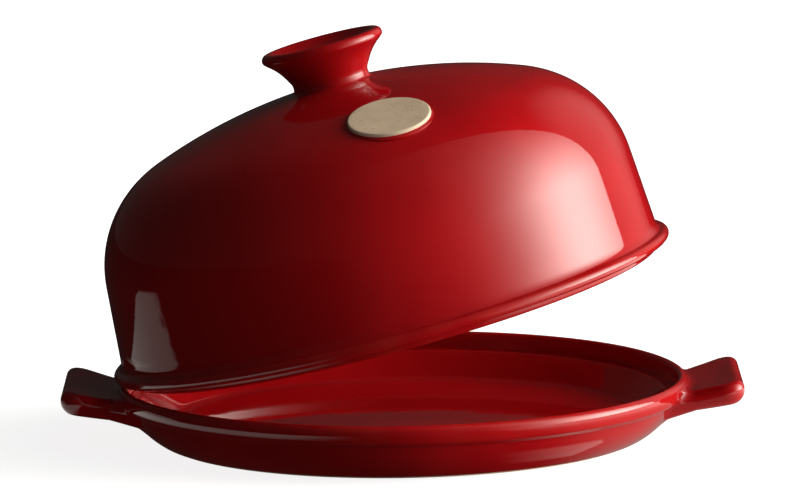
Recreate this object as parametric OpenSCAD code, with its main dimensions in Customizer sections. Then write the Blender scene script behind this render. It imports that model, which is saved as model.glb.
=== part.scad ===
// Bread cloche: a shallow stoneware dish with two tab handles and a
// tall glazed dome that tips up on the dish rim.
// Millimetres, +Z up. The origin is on the foot plane, on the dish axis.
// +X runs along the handles.

/* [Dish] */
// Radius of the highest line of the dish rim
rim_r = 140; // [116:0.5:170]
// Height of the rim above the table
rim_h = 29.3; // [28.5:0.1:34]
// Radius of the rounding on top of the rim
rim_round = 2.6; // [2.2:0.1:3]
// Radius of the bulge under the rim
band_round = 3.6; // [3.2:0.1:4.2]
// Distance that the outside wall runs in from the rim to the foot
flare_run = 17.2; // [14:0.2:24]
// Bulge of the flared outside wall, as the radius of its arc
flare_r = 35; // [30:1:120]
// Height of the dish floor above the table
floor_h = 8; // [7:0.5:10]
// Distance that the slanted wall runs in from the ledge to the floor
slant_run = 14.4; // [12:0.1:26]
// Height of the ledge inside the rim
ledge_h = 20.5; // [19:0.5:21.5]
// Width of the ledge inside the rim
ledge_w = 6; // [4:0.5:8]
// Rounding between the floor and the slanted wall
floor_fillet = 8; // [4:0.5:10]

/* [Foot ring] */
// Width of the bare ring that stands on the table
ring_w = 7; // [5:0.5:12]
// Height of the ring under the glazed base
ring_h = 1; // [0.8:0.1:1.6]
// Distance from the edge of the base in to the ring
ring_inset = 2.6; // [2.2:0.2:5]
// Depth of the hollow inside the ring
hollow_h = 2; // [1.5:0.1:2.5]

/* [Handles] */
// Distance that a handle reaches out from the top of the rim
handle_reach = 30; // [27:0.5:36]
// Widest part of a handle
handle_w = 85; // [78:1:100]
// Width of a handle where it leaves the rim
neck_w = 70; // [56:1:72]
// Thickness of a handle
handle_t = 11.6; // [9:0.1:12]
// Upward slope of a handle in degrees
handle_slope = 13; // [6:0.5:15]
// Height of the middle of a handle at its outer end
handle_end_h = 26.2; // [24:0.1:27]
// Radius of the outer corners
handle_corner = 9; // [8:0.5:12.5]

/* [Dome] */
// Distance of the dome wall in from the top of the rim, at the rolled edge
wall_inset = 1.7; // [1:0.1:4]
// Inward lean of the wall in degrees
dome_lean = 4.3; // [2:0.1:6]
// Radius of the round shoulder
shoulder_r = 59.5; // [50:0.5:64]
// Height of the centre of the shoulder above the rolled edge
shoulder_h = 40.4; // [34:0.2:46]
// Height of the crown above the rolled edge
crown_h = 114; // [110:0.5:122]
// Thickness of the dome wall
dome_wall = 7; // [6:0.1:8]
// Radius of the rolled edge
bead_round = 2.9; // [2.6:0.1:3.1]
// Radius of the hollow sweep above the rolled edge
sweep_r = 6.5; // [5.5:0.5:7.5]
// Depth of the locating lip below the middle of the rolled edge
lip_depth = 6.3; // [5.8:0.1:8]

/* [Knob] */
// Radius of the knob's rim
knob_r = 30.9; // [26:0.1:38]
// Radius of the knob's waist
waist_r = 19.1; // [15:0.1:20]
// Height of the knob above the crown
knob_h = 22; // [20:0.5:28]
// Rounding of the knob's rim
knob_round = 3; // [2:0.1:3.4]
// Radius of the sweep at the knob's foot
waist_sweep = 6; // [4:0.5:7]
// Depth of the dished top
knob_dish = 8; // [4:0.5:10]

/* [Medallion] */
// Radius of the bare clay disc
medal_r = 20.6; // [14:0.2:22]
// Height of the disc above the glaze
medal_h = 1.5; // [1:0.1:2.5]
// Rounding of the edge of the disc
medal_edge = 0.8; // [0.4:0.1:0.9]
// Distance of the disc from the dome axis
medal_place = 89.3; // [76:0.1:92]
// Direction of the disc round the dome in degrees
medal_turn = -67.4; // [-180:0.1:180]

/* [Fit and opening] */
// Space between the rolled edge and the rim under it
seat_gap = 0.3; // [0.25:0.05:0.5]
// Space all round between the locating lip and the rim
lip_gap = 1; // [0.8:0.1:2]
// Distance of the tipping line outside the top of the rim
tip_out = 0.6; // [0.5:0.05:0.8]
// Angle that the dome is tipped open
dome_tilt = 14.1; // [0:0.1:45]
// Turn of the tipping line from the handle direction in degrees
tip_turn = 5.9; // [-8:0.1:8]

/* [Hidden] */
$fn = 120;
high = 60;

// Rim and outside wall of the dish
rim_in = rim_r - rim_round;
rim_out = rim_r + rim_round;
rim_z = rim_h - rim_round;
foot_r = rim_r - flare_run;
band_drop = 4;
band_z = rim_z - band_drop;
band_x = rim_out - band_round;
wall_top = [band_x - 1, band_z - band_round + 0.3];
wall_foot = [foot_r, ring_h + 0.4];
flare_chord = norm(wall_top - wall_foot);
flare_turn = atan2(wall_top[1] - wall_foot[1], wall_top[0] - wall_foot[0]);
flare_back = sqrt(pow(flare_r, 2) - pow(flare_chord / 2, 2));
flare_mid = (wall_top + wall_foot) / 2
          + flare_back * [-sin(flare_turn), cos(flare_turn)];
ring_out = foot_r - ring_inset;
ring_in = ring_out - ring_w;

// Floor, slanted wall and ledge inside the dish
ledge_x = rim_in - ledge_w;
floor_r = ledge_x - slant_run;
slant = atan2(ledge_h - floor_h, ledge_x - floor_r);
fillet_mid = [floor_r - floor_fillet * tan(slant / 2), floor_h + floor_fillet];
fillet_end = fillet_mid + floor_fillet * [sin(slant), -cos(slant)];

// Handle, flat before it is sloped
edge_r = handle_t / 2;
handle_root = 22;
root_x = rim_r - handle_root;
handle_end = rim_r + handle_reach;
corner = [handle_end - handle_corner, handle_w / 2 - handle_corner];
neck = [rim_r, neck_w / 2];
neck_run = norm(corner - neck);
side_turn = atan2(corner[1] - neck[1], corner[0] - neck[0])
          + asin(handle_corner / neck_run);
corner_steps = 12;

// Dome section, measured up from the middle of the rolled edge
dome_r = rim_r - wall_inset;
bead_z = rim_h + seat_gap + bead_round;
bead_x = rim_r + 0.2;
lip_x = rim_in - lip_gap;
dome_in = dome_r - dome_wall / cos(dome_lean);
lip_round = (lip_x - dome_in) / 2;
lip_z = lip_round - lip_depth;
shoulder_x = dome_r - (shoulder_r + shoulder_h * sin(dome_lean)) / cos(dome_lean);
crown_rise = crown_h - shoulder_h;
crown_r = (pow(shoulder_x, 2) + pow(crown_rise, 2) - pow(shoulder_r, 2))
        / (2 * (crown_rise - shoulder_r));
crown_z = crown_h - crown_r;
join_turn = atan2(shoulder_h - crown_z, shoulder_x);
sweep_z = bead_round
        + sqrt(pow(sweep_r, 2) - pow(dome_r + sweep_r - bead_x, 2));
sweep_x = dome_r + sweep_r / cos(dome_lean) - sweep_z * tan(dome_lean);

// Knob section, in the same heights as the dome
knob_top = crown_h + knob_h;
knob_mid = [knob_r - knob_round, knob_top - knob_round];
waist_mid = [waist_r + waist_sweep, crown_h + 2];
knob_step = knob_mid - waist_mid;
flare_lean = atan2(knob_step[0], knob_step[1])
           + asin((waist_sweep + knob_round) / norm(knob_step));
flare_out = [cos(flare_lean), -sin(flare_lean)];
dish_edge = knob_mid[0] - knob_round / 2;
dish_r = (pow(dish_edge, 2) + pow(knob_dish, 2)) / (2 * knob_dish);

// Medallion place on the crown
medal_lean = asin(medal_place / crown_r);
medal_z = crown_z + crown_r * cos(medal_lean);
medal_root = 6;

// Tipping line, on the outside of the rim
tip_r = rim_r + tip_out;
tip_z = rim_h + seat_gap / 2;

// Section of the dish with its inside filled
module dish_fill() {
    translate([0, ring_h])
        square([foot_r - 2, wall_top[1] - ring_h]);
    intersection() {
        translate(flare_mid) circle(flare_r, $fn = 720);
        translate([0, ring_h])
            square([wall_top[0], wall_top[1] - ring_h]);
    }
    translate([0, wall_top[1] - 1]) square([band_x - 1, 2]);
    translate([0, wall_top[1] + 0.5]) square([band_x, band_z - wall_top[1]]);
    translate([band_x, band_z]) circle(band_round);
    translate([0, band_z]) square([rim_out, rim_z - band_z]);
    translate([rim_r, rim_z]) circle(rim_round);
}

// Section of the space inside the dish
module dish_cavity() {
    translate([0, ledge_h]) square([rim_in, high]);
    translate([0, floor_h]) square([fillet_mid[0], high]);
    translate(fillet_mid) circle(floor_fillet);
    polygon([fillet_mid, fillet_end, [ledge_x, ledge_h],
             [ledge_x, ledge_h + 1], [fillet_mid[0], ledge_h + 1]]);
}

module base_dish() {
    color("firebrick")
    rotate_extrude()
    difference() {
        dish_fill();
        dish_cavity();
        square([ring_in, ring_h + hollow_h]);
    }
}

module foot_ring() {
    color("tan")
    rotate_extrude()
    translate([ring_in, 0])
        square([ring_w, ring_h]);
}

// Flat outline of a handle, its outer corners turned in small steps
module handle_plan() {
    half = concat(
        [[root_x, neck[1]], neck],
        [for (step = [0:corner_steps])
            let (turn = (90 + side_turn) * (1 - step / corner_steps))
                corner + handle_corner * [cos(turn), sin(turn)]]);
    mirrored = [for (i = [len(half) - 1:-1:0]) [half[i][0], -half[i][1]]];
    polygon(concat(half, mirrored));
}

// Side view of a handle, with its outer end rounded
module handle_side() {
    translate([root_x, -edge_r])
        square([handle_end - edge_r - root_x, handle_t]);
    translate([handle_end - edge_r, 0]) circle(edge_r);
}

// Handle on the +X side, cut to the outside of the dish
module handle() {
    difference() {
        translate([handle_end, 0, handle_end_h])
            rotate([0, -handle_slope, 0])
                translate([-handle_end, 0, 0])
                    intersection() {
                        rotate([90, 0, 0])
                            linear_extrude(2 * handle_w, center = true)
                                handle_side();
                        linear_extrude(2 * handle_t, center = true)
                            handle_plan();
                    }
        rotate_extrude() dish_fill();
    }
}

module handle_left() {
    color("firebrick")
    mirror([1, 0, 0]) handle();
}

module handle_right() {
    color("firebrick") handle();
}

// Section of the dome with its inside filled, drawn in by a depth
module dome_fill(inset) {
    wall_x = dome_r - inset / cos(dome_lean);
    round_r = shoulder_r - inset;
    wall_end = [shoulder_x + round_r * cos(dome_lean),
                shoulder_h + round_r * sin(dome_lean)];
    join_x = (crown_r - inset) * cos(join_turn);
    polygon([[0, 0], [wall_x, 0], wall_end, [shoulder_x, shoulder_h],
             [0, shoulder_h]]);
    intersection() {
        translate([shoulder_x, shoulder_h]) circle(round_r, $fn = 240);
        translate([shoulder_x - 1, shoulder_h - 1])
            square([round_r + 1, round_r + 2]);
    }
    intersection() {
        translate([0, crown_z]) circle(crown_r - inset, $fn = 720);
        translate([0, shoulder_h - 1]) square([join_x, crown_h]);
    }
}

// Rolled edge with the hollow sweep above it and the lip below it
module dome_edge() {
    sweep_end = [sweep_x - sweep_r * cos(dome_lean),
                 sweep_z - sweep_r * sin(dome_lean)];
    translate([bead_x, 0]) circle(bead_round);
    translate([dome_in, -bead_round])
        square([bead_x - dome_in, bead_round]);
    difference() {
        polygon([[dome_r - 3, 0], [bead_x, 0], [bead_x, sweep_z], sweep_end,
                 [dome_r - 3, sweep_end[1]]]);
        translate([sweep_x, sweep_z]) circle(sweep_r);
    }
    translate([dome_in, lip_z]) square([lip_x - dome_in, -lip_z]);
    translate([dome_in + lip_round, lip_z]) circle(lip_round);
}

// Puts a dome piece, drawn closed, where the tipped dome carries it
module tipped() {
    rotate([0, 0, -tip_turn])
        translate([-tip_r, 0, tip_z])
            rotate([0, -dome_tilt, 0])
                translate([tip_r, 0, -tip_z])
                    children();
}

module dome_shell() {
    color("firebrick")
    tipped()
    translate([0, 0, bead_z])
    rotate_extrude() {
        difference() {
            dome_fill(0);
            dome_fill(dome_wall);
        }
        dome_edge();
    }
}

module dome_knob() {
    color("firebrick")
    tipped()
    translate([0, 0, bead_z])
    rotate_extrude()
    difference() {
        union() {
            difference() {
                polygon([[0, crown_h - 4], [waist_r, crown_h - 4],
                         [waist_r, waist_mid[1]], waist_mid,
                         waist_mid - waist_sweep * flare_out,
                         knob_mid + knob_round * flare_out,
                         knob_mid, [knob_mid[0], knob_top], [0, knob_top]]);
                translate(waist_mid) circle(waist_sweep);
            }
            translate(knob_mid) circle(knob_round);
        }
        translate([0, knob_top - knob_dish + dish_r]) circle(dish_r, $fn = 240);
        translate([0, crown_z]) circle(crown_r, $fn = 720);
    }
}

module medallion() {
    color("tan")
    tipped()
    difference() {
        rotate([0, 0, medal_turn])
            translate([medal_place, 0, bead_z + medal_z])
                rotate([0, medal_lean, 0])
                    translate([0, 0, -medal_root])
                        rotate_extrude() {
                            square([medal_r - medal_edge, medal_root + medal_h]);
                            square([medal_r, medal_root + medal_h - medal_edge]);
                            translate([medal_r - medal_edge,
                                       medal_root + medal_h - medal_edge])
                                circle(medal_edge, $fn = 32);
                        }
        translate([0, 0, bead_z])
            rotate_extrude() dome_fill(0);
    }
}

base_dish();
foot_ring();
handle_left();
handle_right();
dome_shell();
dome_knob();
medallion();
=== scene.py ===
"""Looks of a glazed bread cloche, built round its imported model.

The dish, its handles and foot ring, the dome, the knob, the clay medallion and the
glaze round it are each worked out as a surface with numpy, in millimetres in the
part's own frame, and go into their meshes in metres.
"""

import bpy
import numpy as np
from mathutils import Matrix


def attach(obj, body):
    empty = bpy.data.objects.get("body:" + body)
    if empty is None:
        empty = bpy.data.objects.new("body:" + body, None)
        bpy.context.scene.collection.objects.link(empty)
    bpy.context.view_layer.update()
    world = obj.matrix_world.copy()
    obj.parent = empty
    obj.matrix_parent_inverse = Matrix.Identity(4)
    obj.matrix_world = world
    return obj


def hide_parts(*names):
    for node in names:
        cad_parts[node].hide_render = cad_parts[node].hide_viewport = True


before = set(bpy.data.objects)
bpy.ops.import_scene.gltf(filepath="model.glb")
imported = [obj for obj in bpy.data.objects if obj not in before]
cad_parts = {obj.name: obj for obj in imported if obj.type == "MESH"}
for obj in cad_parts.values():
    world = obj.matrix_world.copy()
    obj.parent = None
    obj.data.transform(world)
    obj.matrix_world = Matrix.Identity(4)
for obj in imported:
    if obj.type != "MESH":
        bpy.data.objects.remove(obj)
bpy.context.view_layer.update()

MM = 0.001

# Rim of the dish, and the broad circle of the band that ends in it
RIM_R = 140.0
RIM_H = 29.3
RIM_ROUND = 2.6
BAND_ROUND = 3.6
BAND_DROP = 4.0
BAND_CORNER = 2.4
BULGE_R = 12.58
BULGE_IN = 10.0
BULGE_H = 24.6

# Foot of the dish, and the circle of the wall that widens from it to the band
FOOT_R = 122.8
FOOT_LIFT = 0.4
FOOT_EDGE = 0.8
FLARE_R = 35.0
FLARE_IN = 1.0
FLARE_LIFT = 0.3
FLARE_CUT = 2.0
FLARE_BLEND = 1.2

# Inside and underside of the dish
FLOOR_H = 8.0
FLOOR_R = 117.0
LEDGE_H = 20.5
LEDGE_W = 6.0
FLOOR_FILLET = 8.0
RING_W = 7.0
RING_H = 1.0
RING_INSET = 2.6
HOLLOW_H = 2.0
HOLLOW_SLOPE = 1.5

# Handles, with places along them measured from the middle of the dish
HANDLE_SPAN = 340.0
HANDLE_END = HANDLE_SPAN / 2
EDGE_X = HANDLE_END - 2
HANDLE_W = 85.0
NECK_W = 70.0
HANDLE_T = 11.6
HANDLE_SLOPE = 13.0
HANDLE_END_H = 26.2
HANDLE_CORNER = 9.0
TAB_LENGTH = 26.5
NECK_THIN = 0.7
END_SWELL = 0.6
EDGE_IN = 0.25
EDGE_FLAT = 0.5
END_LEAN = 0.2
LEAN_X = 150.0
THUMB_X = 157.0
THUMB_LENGTH = 9.0
THUMB_W = 26.0
THUMB_DEPTH = 0.5

# Where a handle runs into the dish, with a skirt that is wider than its root
SWEEP_UNDER = 5.2
SWEEP_ON_TOP = 3.0
SWEEP_SIDES = 4.5
SIDE_START = 22.0
SIDE_FULL = 34.0
ROOT_H = 18.6
ROOT_UP = 7.0
ROOT_DOWN = 6.3
ROOT_SIDE = 0.6
SKIRT_UP = 3.4
SKIRT_DOWN = 7.0
SKIRT_SIDE = 11.5
ROOT_DEPTH = 1.6

# Dome, in heights above the middle of its rolled edge
DOME_R = 138.3
DOME_LEAN = 4.3
SHOULDER_R = 59.5
SHOULDER_H = 40.4
CROWN_H = 114.0
DOME_WALL = 7.0
BEAD_ROUND = 2.9
BEAD_OUT = 0.2
SWEEP_R = 6.5
LIP_DEPTH = 6.3

# Knob
KNOB_R = 30.9
WAIST_R = 19.1
WAIST_H = 2.0
KNOB_H = 22.0
KNOB_ROUND = 3.0
WAIST_SWEEP = 6.0
KNOB_SAG = 1.0
KNOB_DISH = 8.0
KNOB_ROOT = 4.0
KNOB_FOOT_OUT = 0.3
KNOB_FOOT_SWEEP = 1.6

# Medallion and the glaze round it
MEDAL_R = 20.6
MEDAL_H = 1.5
MEDAL_ROOT = 3.5
MEDAL_PLACE = 89.3
MEDAL_TURN = -67.4
POOL_IN = 0.15
POOL_W = 1.5
POOL_H = 0.9

# How the dome sits on the dish
SEAT_GAP = 0.3
LIP_GAP = 1.0
TIP_OUT = 0.6
DOME_TILT = 14.1
TIP_TURN = 5.9

# Height of one glazed surface over another where their skins meet
SKIN = 0.012

# A section point nearer to the axis than this lies on it
ON_AXIS = 1e-6

# Points round each turned surface
BODY_STEPS = 384
SMALL_STEPS = 256
MEDAL_STEPS = 192


def turn_y(degrees):
    """Rotation matrix about Y, by the right-hand rule."""
    c, s = np.cos(np.radians(degrees)), np.sin(np.radians(degrees))
    return np.array([[c, 0, s], [0, 1, 0], [-s, 0, c]])


def turn_z(degrees):
    """Rotation matrix about Z, by the right-hand rule."""
    c, s = np.cos(np.radians(degrees)), np.sin(np.radians(degrees))
    return np.array([[c, -s, 0], [s, c, 0], [0, 0, 1]])


def arc(centre, radius, start, stop, count=60):
    """Points of a circular arc: centre + radius * (cos a, sin a), a from start to stop in degrees."""
    a = np.radians(np.linspace(start, stop, count))
    return np.stack([centre[0] + radius * np.cos(a), centre[1] + radius * np.sin(a)], 1)


def evenly(path, step):
    """The same path with its points a fixed distance apart along it."""
    gone = np.concatenate([[0], np.cumsum(np.linalg.norm(np.diff(path, axis=0), axis=1))])
    keep = np.concatenate([[True], np.diff(gone) > 1e-9])
    count = max(int(gone[-1] / step), 8)
    at = np.linspace(0, gone[-1], count + 1)
    return np.stack([np.interp(at, gone[keep], path[keep, k]) for k in (0, 1)], 1)


def softened(path, blur, step=0.1):
    """Rounds the corners of a section: each point becomes the mean of its neighbours,
    weighted by exp(-d^2 / (2 blur^2)) with d the distance along the path."""
    even = evenly(path, step)
    reach = int(4 * blur / step)
    weight = np.exp(-0.5 * (np.arange(-reach, reach + 1) * step / blur) ** 2)
    weight /= weight.sum()
    head = 2 * even[0] - even[reach:0:-1]
    tail = 2 * even[-1] - even[-2:-reach - 2:-1]
    long = np.concatenate([head, even, tail])
    return np.stack([np.convolve(long[:, k], weight, "valid") for k in (0, 1)], 1)


def thinned(path, count, bend=5.0):
    """Keeps count points of a section, closer together where it bends: the spacing follows
    the sum of length and bend millimetres for each radian turned."""
    run = np.diff(path, axis=0)
    size = np.linalg.norm(run, axis=1)
    heading = np.unwrap(np.arctan2(run[:, 1], run[:, 0]))
    turning = np.concatenate([np.abs(np.diff(heading)), [0]])
    cost = np.concatenate([[0], np.cumsum(size + bend * turning)])
    at = np.linspace(0, cost[-1], count)
    return np.stack([np.interp(at, cost, path[:, k]) for k in (0, 1)], 1)


def ring_faces(rows, count):
    """Four-sided faces between rows of count points, each row a closed ring."""
    i = np.arange(rows - 1)[:, None] * count
    j = np.arange(count)[None, :]
    k = (j + 1) % count
    return np.stack([i + j, i + k, i + count + k, i + count + j], -1).reshape(-1, 4)


def turned(section, steps):
    """Surface of revolution: (r cos a, r sin a, z) for each section point (r, z) and each of
    the steps angles a. A section end on the axis becomes one point. The sign of the section's
    area tells which way round it runs, and the faces look outwards either way. Returns points
    and faces."""
    r, z = section[:, 0], section[:, 1]
    on_axis = r < ON_AXIS
    a = 2 * np.pi * np.arange(steps) / steps
    body = np.flatnonzero(~on_axis)
    ring = np.stack([np.outer(r[body], np.cos(a)), np.outer(r[body], np.sin(a)),
                     np.repeat(z[body][:, None], steps, 1)], -1).reshape(-1, 3)
    points, faces = [ring], [ring_faces(len(body), steps)]
    j = np.arange(steps)
    k = (j + 1) % steps
    last = (len(body) - 1) * steps
    if not on_axis.any():
        faces.append(np.stack([last + j, last + k, k, j], -1))
    if on_axis[0]:
        points.append([[0, 0, z[0]]])
        faces.append(np.stack([np.full(steps, len(ring)), k, j], -1))
    if on_axis[-1]:
        points.append([[0, 0, z[-1]]])
        end = len(ring) + int(on_axis[0])
        faces.append(np.stack([last + j, last + k, np.full(steps, end)], -1))
    area = np.sum(r * np.roll(z, -1) - np.roll(r, -1) * z)
    if area < 0:
        faces = [f[:, ::-1] for f in faces]
    return np.concatenate(points), faces


def to_closed_height(points):
    """Lifts points drawn above the middle of the rolled edge to where the closed dome has it."""
    return points + [0, 0, RIM_H + SEAT_GAP + BEAD_ROUND]


def tipped(points):
    """Tilts closed dome points about the tipping line on the rim's left, then turns them about
    the upright axis, so that the dome rests on the rim a little behind the left handle."""
    pivot = np.array([RIM_R + TIP_OUT, 0, -(RIM_H + SEAT_GAP / 2)])
    return ((points + pivot) @ turn_y(-DOME_TILT).T - pivot) @ turn_z(-TIP_TURN).T


def on_dish(points):
    """Dome points, drawn above the middle of the rolled edge, where the tipped dome has them."""
    return tipped(to_closed_height(points))


def smooth_union(a, b, width):
    """Least of two distances, rounded where they are within width of each other."""
    near = np.clip(1 - np.abs(a - b) / width, 0, 1)
    return np.minimum(a, b) - near ** 2 * width / 4


def common_part(a, b, corner):
    """Distance outside what two shapes share, with the edge between them rounded by corner."""
    a, b = a + corner, b + corner
    outside = np.hypot(np.maximum(a, 0), np.maximum(b, 0))
    return np.minimum(np.maximum(a, b), 0) + outside - corner


def ease(low, high, x):
    """Smooth step from 0 at low to 1 at high."""
    t = np.clip((x - low) / (high - low), 0, 1)
    return t * t * (3 - 2 * t)


# Outside of the dish, as a distance in its section

RIM_MID = np.array([RIM_R, RIM_H - RIM_ROUND])
BAND_MID = np.array([RIM_R + RIM_ROUND - BAND_ROUND, RIM_H - RIM_ROUND - BAND_DROP])
WALL_TOP = BAND_MID + [-FLARE_IN, FLARE_LIFT - BAND_ROUND]
WALL_FOOT = np.array([FOOT_R, RING_H + FOOT_LIFT])
CHORD = WALL_TOP - WALL_FOOT
ACROSS = np.array([-CHORD[1], CHORD[0]]) / np.linalg.norm(CHORD)
FLARE_MID = (WALL_TOP + WALL_FOOT) / 2 + ACROSS * np.sqrt(FLARE_R ** 2 - (CHORD ** 2).sum() / 4)


def dish_outside(r, z):
    """Distance outside the dish: the smooth union of the broad band that ends in the rim, a
    circle cut off level above and below with rounded corners, and the circle of the flared
    wall cut off inside the band."""
    bulge = np.hypot(r - RIM_R + BULGE_IN, z - BULGE_H) - BULGE_R
    low, high = BAND_MID[1] - BAND_ROUND, RIM_H
    level = np.abs(z - (low + high) / 2) - (high - low) / 2
    band = common_part(bulge, level, BAND_CORNER)
    wall = np.hypot(r - FLARE_MID[0], z - FLARE_MID[1]) - FLARE_R
    wall = np.maximum(wall, z - BAND_MID[1] + FLARE_CUT)
    return smooth_union(band, wall, FLARE_BLEND)


def dish_radius(z):
    """Outer radius of the dish at heights z, by halving a span from a point inside the clay
    at that height to one outside it."""
    halvings = 40
    in_foot, past_rim = RIM_R - 30, RIM_R + 10
    below_band = z < BAND_MID[1] - 3.5
    low = np.where(below_band, in_foot, BAND_MID[0])
    high = np.full(z.shape, past_rim)
    for _ in range(halvings):
        mid = (low + high) / 2
        inside = dish_outside(mid, z) < 0
        low, high = np.where(inside, mid, low), np.where(inside, high, mid)
    return (low + high) / 2


def dish_section():
    """Closed section of the dish from the axis underneath, round the rim, to the axis inside."""
    ring_in = FOOT_R - RING_INSET - RING_W
    hollow = RING_H + HOLLOW_H
    under = np.array([[0, hollow], [ring_in - HOLLOW_SLOPE, hollow], [ring_in, RING_H],
                      [FOOT_R - FOOT_EDGE, RING_H], WALL_FOOT])
    z = np.linspace(WALL_FOOT[1], RIM_H - 0.1, 400)[1:]
    outside = np.stack([dish_radius(z), z], 1)
    ledge_x = RIM_R - RIM_ROUND - LEDGE_W
    slant = np.arctan2(LEDGE_H - FLOOR_H, ledge_x - FLOOR_R)
    fillet = np.array([FLOOR_R - FLOOR_FILLET * np.tan(slant / 2), FLOOR_H + FLOOR_FILLET])
    inside = np.concatenate([
        arc(RIM_MID, RIM_ROUND, 88, 180),
        [[RIM_R - RIM_ROUND, LEDGE_H], [ledge_x, LEDGE_H]],
        arc(fillet, FLOOR_FILLET, np.degrees(slant) - 90, -90),
        [[0, FLOOR_H]]])
    path = np.concatenate([under, outside, inside])
    return thinned(softened(path, blur=0.35), count=230)


def handle_outline(x, y):
    """Distance outside a handle's outline in its own plane: that of the straight-sided core,
    which starts inside the dish, less the corner radius."""
    start = [60, 18]
    end = HANDLE_END - HANDLE_CORNER
    core = np.array([start, [RIM_R, NECK_W / 2 - HANDLE_CORNER],
                     [end, HANDLE_W / 2 - HANDLE_CORNER], [end, -1]])
    p = np.stack([x, np.abs(y)], -1)
    gap = np.full(x.shape, np.inf)
    inside = p[..., 0] < end
    for a, b in zip(core[:-1], core[1:]):
        run = b - a
        t = np.clip(((p - a) @ run) / (run @ run), 0, 1)
        gap = np.minimum(gap, np.linalg.norm(p - a - t[..., None] * run, axis=-1))
        side = run[0] * (p[..., 1] - a[1]) - run[1] * (p[..., 0] - a[0])
        inside = inside & (side < 0)
    return np.where(inside, -gap, gap) - HANDLE_CORNER


def handle_axes(p):
    """A point's place in a handle's own plane: along it, across it and above its middle."""
    c, s = np.cos(np.radians(HANDLE_SLOPE)), np.sin(np.radians(HANDLE_SLOPE))
    out, up = p[:, 0] - HANDLE_END, p[:, 2] - HANDLE_END_H
    return HANDLE_END + out * c + up * s, p[:, 1], up * c - out * s


def handle_place(x, y, height):
    """Points from places in a handle's own plane, the reverse of handle_axes."""
    c, s = np.cos(np.radians(HANDLE_SLOPE)), np.sin(np.radians(HANDLE_SLOPE))
    out = x - HANDLE_END
    return np.stack([HANDLE_END + out * c - height * s, y, HANDLE_END_H + out * s + height * c], -1)


def handle_skin(p):
    """Distance outside the dish and one handle together. The handle is its outline given a
    thickness, with a fully rounded edge and a shallow thumb hollow on top, and it runs into
    the dish in a hollow sweep that is widest at its sides."""
    x, y, height = handle_axes(p)
    half = HANDLE_T / 2 - NECK_THIN + END_SWELL * ease(RIM_R, HANDLE_END, x)
    thumb = THUMB_DEPTH * np.exp(-((x - THUMB_X) / THUMB_LENGTH) ** 2 - (y / THUMB_W) ** 4)
    lean = END_LEAN * (height - 2) * ease(LEAN_X, EDGE_X, x)
    tab = common_part(handle_outline(x, y) + EDGE_IN - lean,
                      np.abs(height) + thumb * ease(0, 3, height) - half,
                      HANDLE_T / 2 - EDGE_FLAT)
    dish = dish_outside(np.hypot(p[:, 0], p[:, 1]), p[:, 2])
    beside = np.exp(-(height / 4) ** 2) * ease(SIDE_START, SIDE_FULL, np.abs(y))
    width = SWEEP_UNDER + (SWEEP_ON_TOP - SWEEP_UNDER) * ease(-3, 4, height)
    return smooth_union(dish, tab, width + SWEEP_SIDES * beside)


def settled(p, field, level):
    """Moves points along the field's slope until it reads level: Newton's step
    p - f grad(f) / |grad(f)|^2, no longer than 1.5 mm, with the slope taken over 0.01 mm."""
    reach = 0.01
    longest = 1.5
    steps = 12
    for _ in range(steps):
        f = field(p) - level
        slope = np.stack([field(p + h) - field(p - h) for h in reach * np.eye(3)], -1)
        slope = slope / (2 * reach)
        step = f[:, None] * slope / np.maximum((slope ** 2).sum(1), 1e-3)[:, None]
        size = np.linalg.norm(step, axis=1)[:, None]
        p = p - step * np.minimum(1, longest / np.maximum(size, 1e-9))
    return p


def box_rim(across, through):
    """Corner to corner walk round a rectangle's grid edge, as the index pairs of its points."""
    a, t = np.arange(across), np.arange(through)
    walk = [np.stack([a, np.zeros_like(a)], 1), np.stack([np.full_like(t, across), t], 1),
            np.stack([across - a, np.full_like(a, through)], 1),
            np.stack([np.zeros_like(t), through - t], 1)]
    return np.concatenate(walk)


def grid_faces(number):
    """Four-sided faces of a grid of point numbers."""
    corners = [number[:-1, :-1], number[1:, :-1], number[1:, 1:], number[:-1, 1:]]
    return np.stack(corners, -1).reshape(-1, 4)


def crowded(count, power):
    """Numbers from -1 to 1 that lie closer together near both ends."""
    t = np.linspace(-1, 1, count + 1)
    return np.sign(t) * (1 - (1 - np.abs(t)) ** power)


def root_place(u, v, spread, depth=0.0):
    """Points on the dish wall round a handle's root, or depth inside it. u runs across the root
    and v up it, each from -1 to 1, and spread widens the root by a skirt, from 0 to 1."""
    up, down = ROOT_UP + SKIRT_UP * spread, ROOT_DOWN + SKIRT_DOWN * spread
    z = ROOT_H + v * np.where(v > 0, up, down)
    y = u * (NECK_W / 2 + ROOT_SIDE + SKIRT_SIDE * spread)
    r = dish_radius(z) - depth
    return np.stack([np.sqrt(r ** 2 - y ** 2), y, z], -1)


def handle_rings(u, v):
    """Rings of a handle's skin: the first narrow in on the dish wall from the skirt's hem to the
    root, and the rest stand across the handle, closer together towards its end."""
    skirt_rings, tab_rings = 18, 30
    least_spread = 0.08
    widening_length = 18
    rings = [root_place(u, v, t) for t in np.linspace(1, least_spread, skirt_rings)]
    for t in np.linspace(0, 1, tab_rings):
        x = HANDLE_END - TAB_LENGTH * (1 - t) ** 1.4
        widening = np.clip((x - RIM_R) / widening_length, 0, 1)
        side = NECK_W / 2 + (HANDLE_W - NECK_W) / 2 * widening
        rings.append(handle_place(np.full(u.shape, x), u * side, v * HANDLE_T / 2))
    return rings


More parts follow.
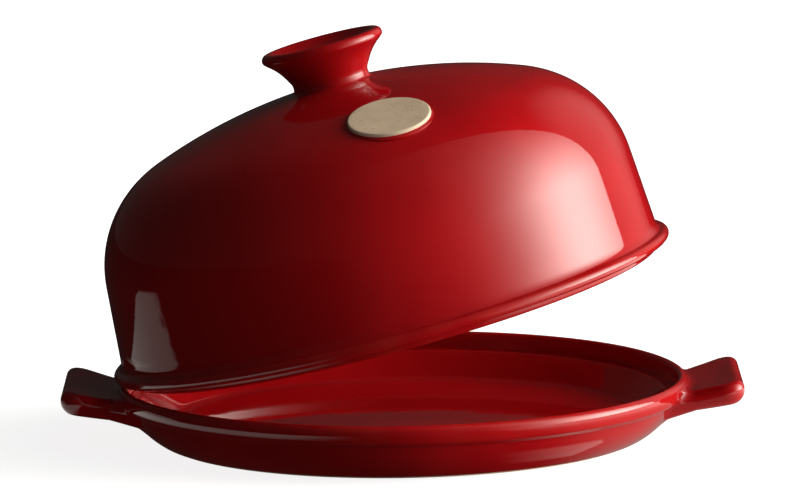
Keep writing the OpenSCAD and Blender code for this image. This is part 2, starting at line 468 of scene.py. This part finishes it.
def handle_shape():
    """One handle on the +X side: rings of its skin, settled on the skin's distance field and
    closed by a grid over its outer end and another inside the dish wall. Returns points, faces
    and the number of points in the hem, which come first."""
    across, through = 76, 18
    rim = box_rim(across, through)
    u, v = np.meshgrid(crowded(across, 1.6), crowded(through, 1.3), indexing="ij")
    rings = handle_rings(u[rim[:, 0], rim[:, 1]], v[rim[:, 0], rim[:, 1]])
    end = handle_place(np.full(u.shape, HANDLE_END), u * HANDLE_W / 2, v * HANDLE_T / 2)
    skin = np.concatenate([*rings, end[1:-1, 1:-1].reshape(-1, 3)])
    skin = settled(skin, handle_skin, SKIN)
    back = root_place(u, v, 1.0, ROOT_DEPTH).reshape(-1, 3)

    count = len(rim)
    j = np.arange(count)
    k = (j + 1) % count
    outer = np.zeros(u.shape, int)
    outer[1:-1, 1:-1] = len(rings) * count + np.arange((across - 1) * (through - 1)).reshape(
        across - 1, through - 1)
    outer[rim[:, 0], rim[:, 1]] = (len(rings) - 1) * count + j
    inner = len(skin) + np.arange(u.size).reshape(u.shape)
    hem = inner[rim[:, 0], rim[:, 1]]
    seam = np.stack([hem[j], hem[k], k, j], -1)
    faces = [ring_faces(len(rings), count), grid_faces(outer), grid_faces(inner)[:, ::-1], seam]
    return np.concatenate([skin, back]), faces, count


# Arcs of the dome, in its section

LEAN = np.radians(DOME_LEAN)
SHOULDER_MID = np.array([DOME_R - (SHOULDER_R + SHOULDER_H * np.sin(LEAN)) / np.cos(LEAN),
                         SHOULDER_H])
RISE = CROWN_H - SHOULDER_H
CROWN_R = (SHOULDER_MID[0] ** 2 + RISE ** 2 - SHOULDER_R ** 2) / (2 * (RISE - SHOULDER_R))
CROWN_MID = np.array([0, CROWN_H - CROWN_R])


def dome_section():
    """Closed section of the dome from the top of the crown, over the shoulder, down the wall,
    round the rolled edge and the lip, and back up inside at the wall's thickness."""
    join = np.degrees(np.arctan2(SHOULDER_H - CROWN_MID[1], SHOULDER_MID[0]))
    bead_x = RIM_R + BEAD_OUT
    sweep_z = BEAD_ROUND + np.sqrt(SWEEP_R ** 2 - (DOME_R + SWEEP_R - bead_x) ** 2)
    sweep = np.array([DOME_R + SWEEP_R / np.cos(LEAN) - sweep_z * np.tan(LEAN), sweep_z])
    to_bead = np.degrees(np.arctan2(BEAD_ROUND - sweep[1], bead_x - sweep[0]))
    lip_x = RIM_R - RIM_ROUND - LIP_GAP
    inner_x = DOME_R - DOME_WALL / np.cos(LEAN)
    lip_round = (lip_x - inner_x) / 2
    lip = np.array([inner_x + lip_round, lip_round - LIP_DEPTH])
    path = np.concatenate([
        arc(CROWN_MID, CROWN_R, 90, join, 400),
        arc(SHOULDER_MID, SHOULDER_R, join, DOME_LEAN, 300)[1:],
        arc(sweep, SWEEP_R, 180 + DOME_LEAN, 360 + to_bead),
        arc([bead_x, 0], BEAD_ROUND, 90, -90),
        [[lip_x, -BEAD_ROUND]],
        arc(lip, lip_round, 0, -180),
        [[inner_x, 0]],
        arc(SHOULDER_MID, SHOULDER_R - DOME_WALL, DOME_LEAN, join, 200),
        arc(CROWN_MID, CROWN_R - DOME_WALL, join, 90, 200)[1:]])
    return thinned(softened(path, blur=0.4), count=250)


def knob_section():
    """Closed section of the knob: a hem on the crown, a small hollow sweep at its foot, the
    waist, the flare, the rounded rim and the dished top."""
    top = CROWN_H + KNOB_H
    rim = np.array([KNOB_R - KNOB_ROUND, top - KNOB_ROUND])
    waist = np.array([WAIST_R + WAIST_SWEEP, CROWN_H + WAIST_H])
    step = rim - waist
    flare = np.degrees(np.arctan2(step[0], step[1])
                       + np.arcsin((WAIST_SWEEP + KNOB_ROUND) / np.linalg.norm(step)))
    edge = rim[0] - KNOB_ROUND / 2
    dish_r = (edge ** 2 + KNOB_DISH ** 2) / (2 * KNOB_DISH)
    dish = np.array([0, top - KNOB_DISH + dish_r])
    foot = WAIST_R + KNOB_FOOT_OUT + KNOB_FOOT_SWEEP
    reach = CROWN_R + KNOB_FOOT_SWEEP
    slope = np.degrees(np.arcsin(foot / reach))
    foot_mid = np.array([foot, CROWN_MID[1] + reach * np.cos(np.radians(slope))])
    hem = arc(CROWN_MID, CROWN_R + SKIN, 88.4 - slope, 90 - slope, 40)
    root = CROWN_H - KNOB_ROOT
    side = np.degrees(np.arctan2(edge, dish[1] - top))
    out = np.array([np.cos(np.radians(flare)), -np.sin(np.radians(flare))])
    low, high = waist - WAIST_SWEEP * out, rim + KNOB_ROUND * out
    bend = np.degrees(4 * KNOB_SAG / np.linalg.norm(high - low))
    along = np.linspace(0.1, 0.9, 20)[:, None]
    hollow = low + (high - low) * along - KNOB_SAG * out * 4 * along * (1 - along)
    path = np.concatenate([
        [[0, root], [hem[0, 0] - 0.6, root], hem[0] - [0.2, 1.0]],
        hem,
        arc(foot_mid, KNOB_FOOT_SWEEP, 270 - slope, 182, 30),
        arc(waist, WAIST_SWEEP, 180, 180 - flare + bend, 40),
        hollow,
        arc(rim, KNOB_ROUND, bend - flare, 110, 60),
        arc(dish, dish_r, side - 90, -90, 80)])
    path = path[np.r_[True, np.linalg.norm(np.diff(path, axis=0), axis=1) > 1e-4]]
    return thinned(softened(path, blur=0.3, step=0.05), count=150)


def on_crown(points):
    """Moves points drawn round the crown's normal to the medallion's place on the dome."""
    lean = np.degrees(np.arcsin(MEDAL_PLACE / CROWN_R))
    up = CROWN_MID[1] + CROWN_R * np.cos(np.radians(lean))
    return on_dish((points @ turn_y(lean).T + [MEDAL_PLACE, 0, up]) @ turn_z(MEDAL_TURN).T)


def medal_section():
    """Section of the medallion: a root in the dome wall, a straight side with a worn edge, and
    a face that is all but flat."""
    path = np.array([[0, -MEDAL_ROOT], [MEDAL_R, -MEDAL_ROOT], [MEDAL_R, MEDAL_H - 0.6],
                     [MEDAL_R - 0.5, MEDAL_H - 0.05], [MEDAL_R - 2.5, MEDAL_H],
                     [0, MEDAL_H - 0.12]])
    return thinned(softened(path, blur=0.22, step=0.05), count=110, bend=2.0)


def pool_section():
    """Section of the glaze that has run together round the medallion: high against its side,
    then a hollow curve that ends flat on the crown."""
    t = np.linspace(0, 1, 60)
    r = MEDAL_R - POOL_IN + POOL_W * t
    crown = CROWN_R - np.sqrt(CROWN_R ** 2 - r ** 2)
    z = SKIN - crown + POOL_H * (1 - t) ** 2 * (1 - 0.3 * np.exp(-(t / 0.12) ** 2))
    root = [[r[0] - 0.4, -2.4], [r[0] - 0.35, z[0] - 0.3]]
    back = [[r[-1] - 0.1, z[-1] - 0.9], [r[-1] - 0.8, -2.6], root[0]]
    path = np.concatenate([root, np.stack([r, z], 1), back])
    return thinned(evenly(path, step=0.05), count=70, bend=1.0)[:-1]


def ring_section():
    """Closed section of the bare foot ring with its lower edges worn round."""
    out = FOOT_R - RING_INSET
    inner = out - RING_W
    top = RING_H + 0.3
    path = np.array([[out - 1.5, 0], [out - 0.5, 0.12], [out, 0.6], [out + 0.1, top],
                     [inner - 0.1, top], [inner, 0.6], [inner + 0.5, 0.12], [inner + 1.5, 0],
                     [out - 1.5, 0]])
    return thinned(evenly(path, step=0.1), count=60, bend=1.0)[:-1]


def mark_thin(mesh, thin):
    """Stores, point by point, where the glaze has drawn off an edge or the clay is worn."""
    layer = mesh.attributes.new("thin", "FLOAT", "POINT")
    layer.data.foreach_set("value", thin.astype(np.float32))


def mark_hem(mesh, count):
    """Breaks the shading along the edges between the mesh's first count points."""
    ends = np.empty(len(mesh.edges) * 2, np.int32)
    mesh.edges.foreach_get("vertices", ends)
    ends = ends.reshape(-1, 2)
    edge = mesh.attributes.get("sharp_edge") or mesh.attributes.new(
        "sharp_edge", "BOOLEAN", "EDGE")
    edge.data.foreach_set("value", (ends < count).all(1))


def piece(name, points, faces, body, finish, nodes, thin, hem=0):
    """Makes a mesh of points in millimetres and groups of faces, rides it on a body and lets it
    stand for CAD nodes. finish is its slot, which is not used, and its material, and hem the
    number of its first points that lie on an edge where the shading breaks."""
    slot, material = finish
    mesh = bpy.data.meshes.new(name)
    mesh.from_pydata((points * MM).tolist(), [], [f for g in faces for f in g.tolist()])
    mesh.polygons.foreach_set("use_smooth", np.ones(len(mesh.polygons), bool))
    mark_thin(mesh, thin)
    if hem:
        mark_hem(mesh, hem)
    mesh.validate()
    mesh.update()
    mesh.materials.append(material)
    obj = bpy.data.objects.new(name, mesh)
    bpy.context.scene.collection.objects.link(obj)
    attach(obj, body)
    if nodes:
        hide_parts(*nodes)


def bent_outwards(section):
    """How tightly a section bends outwards at each point, 0 for flat or hollow and 1 for a
    radius of 3 mm or less, spread a little along the surface."""
    full_bend = 3.0
    spreadings = 6
    run = np.gradient(section, axis=0)
    heading = np.unwrap(np.arctan2(run[:, 1], run[:, 0]))
    size = np.maximum(np.linalg.norm(run, axis=1), 1e-6)
    turning = np.gradient(heading)
    sign = np.sign(turning)
    outwards = sign == np.sign(np.median(sign[sign != 0]))
    level = np.clip(np.where(outwards, np.abs(turning) / size, 0) * full_bend, 0, 1)
    for _ in range(spreadings):
        level = (np.r_[level[0], level[:-1]] + 2 * level + np.r_[level[1:], level[-1]]) / 4
    return level


def turned_piece(name, section, steps, body, finish, nodes, place=None, wear=1.0):
    """A piece that is a surface of revolution, thin or worn where its section bends outwards
    and moved by place."""
    points, faces = turned(section, steps)
    floor_glow = np.repeat(wear * bent_outwards(section)[section[:, 0] >= ON_AXIS], steps)
    thin = np.concatenate([floor_glow, np.zeros(len(points) - len(floor_glow))])
    if place:
        points = place(points)
    piece(name, points, faces, body, finish, nodes, thin)


# Materials

CHERRY = (0.42, 0.004, 0.007)
LIGHT_CHERRY = (0.50, 0.007, 0.010)
THIN_CHERRY = (0.46, 0.03, 0.018)
PIN_HOLE = (0.10, 0.012, 0.010)
CLAY_TONE = (0.85, 0.635, 0.435)
LIGHT_CLAY = (0.95, 0.725, 0.51)
WORN_CLAY = (0.88, 0.71, 0.51)
DARK_GRAIN = (0.26, 0.17, 0.10)
PALE_GRAIN = (0.90, 0.75, 0.56)


class Nodes:
    """Short calls that add and join the nodes of one tree."""

    def __init__(self, tree):
        self.tree = tree
        tree.nodes.clear()

    def add(self, kind, **settings):
        node = self.tree.nodes.new(kind)
        for key, value in settings.items():
            setattr(node, key, value)
        return node

    def join(self, source, target):
        self.tree.links.new(source, target)

    def feed(self, socket, value):
        """Joins an output to a socket, or sets the socket to a number or a colour."""
        if hasattr(value, "links"):
            self.join(value, socket)
        elif isinstance(value, tuple):
            socket.default_value = (*value, 1.0)
        else:
            socket.default_value = value

    def math(self, operation, a, b=0.0):
        node = self.add("ShaderNodeMath", operation=operation)
        self.feed(node.inputs[0], a)
        self.feed(node.inputs[1], b)
        return node.outputs[0]

    def times(self, first, *others):
        for other in others:
            first = self.math("MULTIPLY", first, other)
        return first

    def plus(self, first, *others):
        for other in others:
            first = self.math("ADD", first, other)
        return first

    def span(self, value, low, high, to_low=0.0, to_high=1.0, kind="SMOOTHSTEP"):
        """Carries a value from the range low to high over to the range to_low to to_high."""
        node = self.add("ShaderNodeMapRange", interpolation_type=kind)
        self.join(value, node.inputs["Value"])
        node.inputs["From Min"].default_value = low
        node.inputs["From Max"].default_value = high
        node.inputs["To Min"].default_value = to_low
        node.inputs["To Max"].default_value = to_high
        return node.outputs["Result"]

    def noise(self, vector, scale, detail, roughness=0.5):
        node = self.add("ShaderNodeTexNoise")
        self.join(vector, node.inputs["Vector"])
        node.inputs["Scale"].default_value = scale
        node.inputs["Detail"].default_value = detail
        node.inputs["Roughness"].default_value = roughness
        return node.outputs["Fac"]

    def blend(self, fac, a, b, kind="RGBA"):
        """Mixes two colours, or two numbers where kind is FLOAT."""
        node = self.add("ShaderNodeMix", data_type=kind)
        for name, value in (("Factor", fac), ("A", a), ("B", b)):
            self.feed(node.inputs[name], value)
        return node.outputs["Result"]


def new_group(name, inputs, outputs):
    """A node group with a vector and named numbers for its inputs, and its outputs by kind.
    Returns its tree, its nodes, its start and its end."""
    tree = bpy.data.node_groups.new(name, "ShaderNodeTree")
    tree.interface.new_socket(name="Vector", in_out="INPUT", socket_type="NodeSocketVector")
    for title, value in inputs.items():
        socket = tree.interface.new_socket(name=title, in_out="INPUT",
                                           socket_type="NodeSocketFloat")
        socket.default_value = value
    for title, kind in outputs.items():
        tree.interface.new_socket(name=title, in_out="OUTPUT", socket_type=kind)
    n = Nodes(tree)
    return tree, n, n.add("NodeGroupInput").outputs, n.add("NodeGroupOutput").inputs


def fired_waves():
    """Group: the slow waves and the fine dimples that firing leaves in a surface, as a normal,
    with a slow drift from 0 to 1 that colours and gloss can follow."""
    tree, n, start, end = new_group(
        "fired_waves", {"Wave": 0.3, "Dimple": 0.1},
        {"Drift": "NodeSocketFloat", "Normal": "NodeSocketVector"})
    where = start["Vector"]
    wave = n.times(n.noise(where, scale=22.0, detail=2.0, roughness=0.45), start["Wave"])
    dimple = n.times(n.noise(where, scale=420.0, detail=1.0), start["Dimple"])
    bump = n.add("ShaderNodeBump")
    bump.inputs["Strength"].default_value = 1.0
    bump.inputs["Distance"].default_value = MM
    n.join(n.plus(wave, dimple), bump.inputs["Height"])
    n.join(n.noise(where, scale=14.0, detail=3.0, roughness=0.55), end["Drift"])
    n.join(bump.outputs["Normal"], end["Normal"])
    return tree


def specks():
    """Group: small round spots, 1 inside a spot and 0 outside, a share of a cell pattern kept
    at random."""
    tree, n, start, end = new_group(
        "specks", {"Scale": 300.0, "Share": 0.2, "Size": 0.25}, {"Spot": "NodeSocketFloat"})
    cell = n.add("ShaderNodeTexVoronoi")
    n.join(start["Vector"], cell.inputs["Vector"])
    n.join(start["Scale"], cell.inputs["Scale"])
    part = n.add("ShaderNodeSeparateColor")
    n.join(cell.outputs["Color"], part.inputs["Color"])
    kept = n.math("LESS_THAN", part.outputs["Red"], start["Share"])
    reach = n.times(start["Size"], n.plus(part.outputs["Green"], 0.35))
    near = n.math("LESS_THAN", cell.outputs["Distance"], reach)
    n.join(n.times(kept, near), end["Spot"])
    return tree


WAVES = fired_waves()
SPECKS = specks()


def grouped(n, tree, vector, **values):
    """Places a node group with its inputs given, and returns its outputs."""
    node = n.add("ShaderNodeGroup", node_tree=tree)
    n.join(vector, node.inputs["Vector"])
    for name, value in values.items():
        node.inputs[name].default_value = value
    return node.outputs


def start_material(name):
    """A material with its nodes, its shader's inputs, the place on the piece and how thin or
    worn the surface is there."""
    material = bpy.data.materials.new(name)
    material.use_nodes = True
    n = Nodes(material.node_tree)
    out = n.add("ShaderNodeOutputMaterial")
    shader = n.add("ShaderNodeBsdfPrincipled")
    n.join(shader.outputs[0], out.inputs["Surface"])
    where = n.add("ShaderNodeTexCoord").outputs["Object"]
    thin = n.add("ShaderNodeAttribute", attribute_name="thin").outputs["Fac"]
    return material, n, shader.inputs, where, thin


def red_glaze():
    """Cherry glaze: its red and its gloss drift a little, it is browner and thinner on sharp
    edges, and it has slow waves, fine dimples and a few pin holes."""
    material, n, shader, where, thin = start_material("cherry_glaze")
    waves = grouped(n, WAVES, where, Wave=0.2, Dimple=0.007)
    pins = grouped(n, SPECKS, where, Scale=170.0, Share=0.03, Size=0.07)["Spot"]
    ragged = n.times(thin, n.span(n.noise(where, scale=60.0, detail=3.0), 0.3, 0.75))
    deep = n.blend(n.span(waves["Drift"], 0.35, 0.7), CHERRY, LIGHT_CHERRY)
    worn = n.blend(n.times(ragged, 0.35), deep, THIN_CHERRY)
    n.join(n.blend(pins, worn, PIN_HOLE), shader["Base Color"])
    gloss = n.span(waves["Drift"], 0.3, 0.75, 0.025, 0.055)
    n.join(n.plus(gloss, n.times(pins, 0.3)), shader["Roughness"])
    n.join(waves["Normal"], shader["Normal"])
    shader["IOR"].default_value = 1.5
    return material


def bare_clay():
    """Bare fired clay: warm beige with cloudy tone, dark and pale grains, a paler worn edge and
    a dry, faintly pitted surface."""
    material, n, shader, where, thin = start_material("bare_clay")
    waves = grouped(n, WAVES, where, Wave=0.1, Dimple=0.05)
    dark = grouped(n, SPECKS, where, Scale=900.0, Share=0.16, Size=0.3)["Spot"]
    pale = grouped(n, SPECKS, where, Scale=1300.0, Share=0.2, Size=0.3)["Spot"]
    clouds = n.span(n.noise(where, scale=90.0, detail=4.0, roughness=0.6), 0.3, 0.7)
    cloud = n.blend(clouds, CLAY_TONE, LIGHT_CLAY)
    grained = n.blend(n.times(dark, 0.55), cloud, DARK_GRAIN)
    mixed = n.blend(n.times(pale, 0.5), grained, PALE_GRAIN)
    n.join(n.blend(n.times(thin, 0.6), mixed, WORN_CLAY), shader["Base Color"])
    n.join(n.span(waves["Drift"], 0.3, 0.7, 0.55, 0.75), shader["Roughness"])
    n.join(waves["Normal"], shader["Normal"])
    shader["IOR"].default_value = 1.45
    return material


# Pieces

GLAZE = ("glaze", red_glaze())
CLAY = ("bare_clay", bare_clay())


def handles():
    """Both handles, glazed thin on their outer edges. The left one is the right one's mirror
    image, so its faces are turned round."""
    edge_thin = 0.6
    points, faces, hem = handle_shape()
    thin = edge_thin * ease(8, 2, np.abs(points[:, 0] - EDGE_X))
    piece("handle_right_tab", points, faces, "base", GLAZE, ["handle_right"], thin, hem)
    points = points * [-1, 1, 1]
    faces = [f[:, ::-1] for f in faces]
    piece("handle_left_tab", points, faces, "base", GLAZE, ["handle_left"], thin, hem)


turned_piece("dish", dish_section(), BODY_STEPS, "base", GLAZE, ["base_dish"])
handles()
turned_piece("foot_ring_clay", ring_section(), SMALL_STEPS, "base", CLAY, ["foot_ring"], wear=0.5)
turned_piece("dome", dome_section(), BODY_STEPS, "dome", GLAZE, ["dome_shell"], on_dish)
turned_piece("knob", knob_section(), SMALL_STEPS, "dome", GLAZE, ["dome_knob"], on_dish)
turned_piece("clay_medallion", medal_section(), MEDAL_STEPS, "dome", CLAY, ["medallion"], on_crown)
turned_piece("glaze_pool", pool_section(), MEDAL_STEPS, "dome", GLAZE, (), on_crown, wear=0.0)


# Floor, light and camera

FLOOR_RINGS = [12, 6, 3, 1.5, 0.8, 0.4, 0.15, 0]
FLOOR_DROP = 0.0002
FLOOR_GREY = (0.6, 0.6, 0.6)
# Colour of the floor's glow, which paints light onto the object and painted reflections into the
# glaze
FLOOR_GLOW_WARMTH = (1.0, 0.95, 0.88)
SCREEN_MIDDLE = (92, 4.8)
SCREEN_EDGE = 31
WALL_MIDDLE = (135, 20)
BEHIND = 182
SCREEN_WARMTH = (0.86, 0.85, 0.79)
WHITE = (1.0, 1.0, 1.0)


def direction(azimuth, elevation=0.0):
    """Unit vector: azimuth 0 is towards -Y and 90 towards +X, elevation is up, in degrees."""
    a, e = np.radians(azimuth), np.radians(elevation)
    return np.array([np.sin(a) * np.cos(e), -np.cos(a) * np.cos(e), np.sin(e)])


class FloorPlace:
    """Where a floor point lies, in metres: how far from the middle, to the right and back."""

    def __init__(self, n):
        self.where = n.add("ShaderNodeTexCoord").outputs["Object"]
        length = n.add("ShaderNodeVectorMath", operation="LENGTH")
        n.join(self.where, length.inputs[0])
        self.far = length.outputs["Value"]
        part = n.add("ShaderNodeSeparateXYZ")
        n.join(self.where, part.inputs[0])
        self.across = part.outputs["X"]
        self.deep = part.outputs["Y"]

    def along(self, n, azimuth):
        """Distance along the floor towards an azimuth."""
        x, y, _ = direction(azimuth)
        return n.plus(n.times(self.across, x), n.times(self.deep, y))


def left_ring(n, floor):
    """Painted reflection: a glowing patch of floor, the left side of a ring round the dish, seen only
    in the glaze.
    """
    inner_edge = (0.165, 0.185)
    outer_edge = (0.27, 0.23)
    right_edge = (-0.04, -0.12)
    return n.times(n.span(floor.far, *inner_edge), n.span(floor.far, *outer_edge),
                   n.span(floor.across, *right_edge))


def right_field(n, floor):
    """Painted reflection: a glowing patch of the floor on the right, seen only in the glaze, on the
    screen's side of the upright plane that cuts the screen off, brighter away from the dish and
    faded slowly towards the front."""
    plane_edge = (0.0, 0.03)
    brightening = (0.165, 0.32, 0.3, 1.8)
    slow_edge = (-0.3, 0.35)
    left_edge = (0.0, 0.12)
    plane = n.math("DIVIDE", floor.along(n, SCREEN_EDGE), floor.far)
    slow = n.math("DIVIDE", n.plus(floor.across, n.times(floor.deep, 0.9)), floor.far)
    return n.times(n.span(plane, *plane_edge), n.span(floor.far, *brightening),
                   n.span(slow, *slow_edge), n.span(floor.across, *left_edge))


def front_crescent(n, floor):
    """Painted reflection: a glowing crescent of floor under the dish's wall at the front right, seen
    only in the glaze, narrowed to its right end.
    """
    right_end = (0.006, 0.003)
    left_end = (0.046, 0.106)
    inner_edge = (0.1265, 0.1285)
    outer_edge = (0.139, 0.136)
    slant = floor.along(n, 140)
    past_start = n.math("MAXIMUM", n.plus(slant, 0.018), 0.0)
    inner = n.math("SUBTRACT", floor.far, n.times(past_start, 0.3))
    return n.times(n.span(slant, *right_end), n.span(floor.across, *left_end),
                   n.span(inner, *inner_edge), n.span(floor.far, *outer_edge))


def torn_patch(n, floor):
    """Painted reflection: a glowing strip of floor far out on the left, seen only in the glaze,
    square at the back and torn at the front.
    """
    back_edge = (0.112, 0.106)
    torn_edge = (-0.165, -0.14)
    left_edge = (-0.44, -0.40)
    right_edge = (-0.235, -0.245)
    tears = n.times(n.noise(floor.where, scale=35.0, detail=4.0, roughness=0.6), 0.07)
    torn = n.plus(floor.deep, tears, n.times(floor.across, 0.5))
    return n.times(n.span(floor.deep, *back_edge), n.span(torn, *torn_edge),
                   n.span(floor.across, *left_edge), n.span(floor.across, *right_edge))


def pale_floor():
    """Floor material. The camera sees it white away from the object and keeps the shadow near it.
    To every other ray the floor glows: as painted bounce light on the object, more on the right
    than on the left, and in the glaze as painted reflections, dark with pale glowing patches,
    each a product of soft steps over the floor."""
    material = bpy.data.materials.new("pale_floor")
    material.use_nodes = True
    n = Nodes(material.node_tree)
    out = n.add("ShaderNodeOutputMaterial")
    floor = FloorPlace(n)
    ray = n.add("ShaderNodeLightPath").outputs
    glow = n.add("ShaderNodeEmission")
    n.join(n.span(floor.far, 0.2, 0.8, 0.86, 1.0), glow.inputs["Strength"])
    matt = n.add("ShaderNodeBsdfDiffuse")
    n.feed(matt.inputs["Color"], FLOOR_GREY)
    seen = n.add("ShaderNodeAddShader")
    n.join(glow.outputs[0], seen.inputs[0])
    n.join(matt.outputs[0], seen.inputs[1])
    # Painted bounce light: to diffuse rays the floor glows, more on the right than on the left
    bounce_glow = n.span(floor.across, 0.0, 0.13, 0.1, 0.7, "LINEAR")
    # Painted reflections: glowing patches of floor that only the glaze's reflections see
    painted_reflections = n.plus(n.times(front_crescent(n, floor), 0.9), n.times(left_ring(n, floor), 0.9),
                      n.times(right_field(n, floor), 1.1), n.times(torn_patch(n, floor), 0.42),
                      0.01)
    # The floor's glow, though it is no lamp, seen by every ray but the camera's
    floor_glow = n.add("ShaderNodeEmission")
    n.feed(floor_glow.inputs["Color"], FLOOR_GLOW_WARMTH)
    n.join(n.blend(ray["Is Glossy Ray"], bounce_glow, painted_reflections, "FLOAT"), floor_glow.inputs["Strength"])
    mix = n.add("ShaderNodeMixShader")
    n.join(ray["Is Camera Ray"], mix.inputs["Fac"])
    n.join(floor_glow.outputs[0], mix.inputs[1])
    n.join(seen.outputs[0], mix.inputs[2])
    n.join(mix.outputs[0], out.inputs["Surface"])
    return material


def white_floor():
    """A wide disc just under the object: a level section turned round the middle, from the
    outside in, so that it faces up."""
    radii = np.array(FLOOR_RINGS, float)
    points, faces = turned(np.stack([radii, np.zeros_like(radii)], 1), 96)
    mesh = bpy.data.meshes.new("floor")
    mesh.from_pydata(points.tolist(), [], [f for g in faces for f in g.tolist()])
    mesh.materials.append(pale_floor())
    floor = bpy.data.objects.new("floor", mesh)
    floor.location = (0, 0, -FLOOR_DROP)
    bpy.context.scene.collection.objects.link(floor)


def studio():
    """World light: white to the camera, and to the object a dark room with one large screen on
    the right, brightest low down and cut off at an upright edge, and a dim wall behind it. The
    screen's light is exp(fall (d - 1) - narrow s^2), with d the cosine of the angle to its
    middle and s that of the angle to straight behind the object."""
    fall = 6.1
    narrow = 2.2
    brightest = 15.4
    wall_light = 0.5
    dark = 0.03
    world = bpy.data.worlds.new("studio")
    bpy.context.scene.world = world
    world.use_nodes = True
    n = Nodes(world.node_tree)
    out = n.add("ShaderNodeOutputWorld")
    where = n.add("ShaderNodeTexCoord").outputs["Generated"]
    seen = n.add("ShaderNodeLightPath").outputs["Is Camera Ray"]

    def towards(azimuth, elevation=0.0):
        dot = n.add("ShaderNodeVectorMath", operation="DOT_PRODUCT")
        n.join(where, dot.inputs[0])
        dot.inputs[1].default_value = tuple(direction(azimuth, elevation))
        return dot.outputs["Value"]

    sideways = towards(BEHIND)
    level = n.times(n.math("SUBTRACT", towards(*SCREEN_MIDDLE), 1.0), fall)
    level = n.math("SUBTRACT", level, n.times(sideways, sideways, narrow))
    edge = n.span(towards(SCREEN_EDGE), 0.0, 0.012)
    screen = n.times(n.math("EXPONENT", level), edge, brightest)
    wall = n.times(n.span(towards(*WALL_MIDDLE), 0.85, 0.99), wall_light)
    back = n.add("ShaderNodeBackground")
    n.join(n.blend(seen, SCREEN_WARMTH, WHITE), back.inputs["Color"])
    n.join(n.blend(seen, n.plus(screen, wall, dark), 1.0, "FLOAT"), back.inputs["Strength"])
    n.join(back.outputs[0], out.inputs["Surface"])


def camera():
    """Long lens 3.5 m from the object, 8.7 degrees above the table and rolled by 1 degree."""
    place = (-0.0001, -3.45933, 0.62433)
    right = np.array([0.99986, -0.002535, -0.016487])
    ahead = np.array([0, 0.988381, -0.151994])
    lens = bpy.data.cameras.new("camera")
    lens.sensor_width = 36
    lens.lens = 316.04
    lens.clip_end = 100
    obj = bpy.data.objects.new("camera", lens)
    turn = Matrix(np.stack([right, np.cross(right, ahead), -ahead], 1).tolist()).to_4x4()
    turn.translation = place
    obj.matrix_world = turn
    bpy.context.scene.collection.objects.link(obj)
    bpy.context.scene.camera = obj


white_floor()
studio()
camera()
bpy.context.scene.view_settings.view_transform = "Standard"
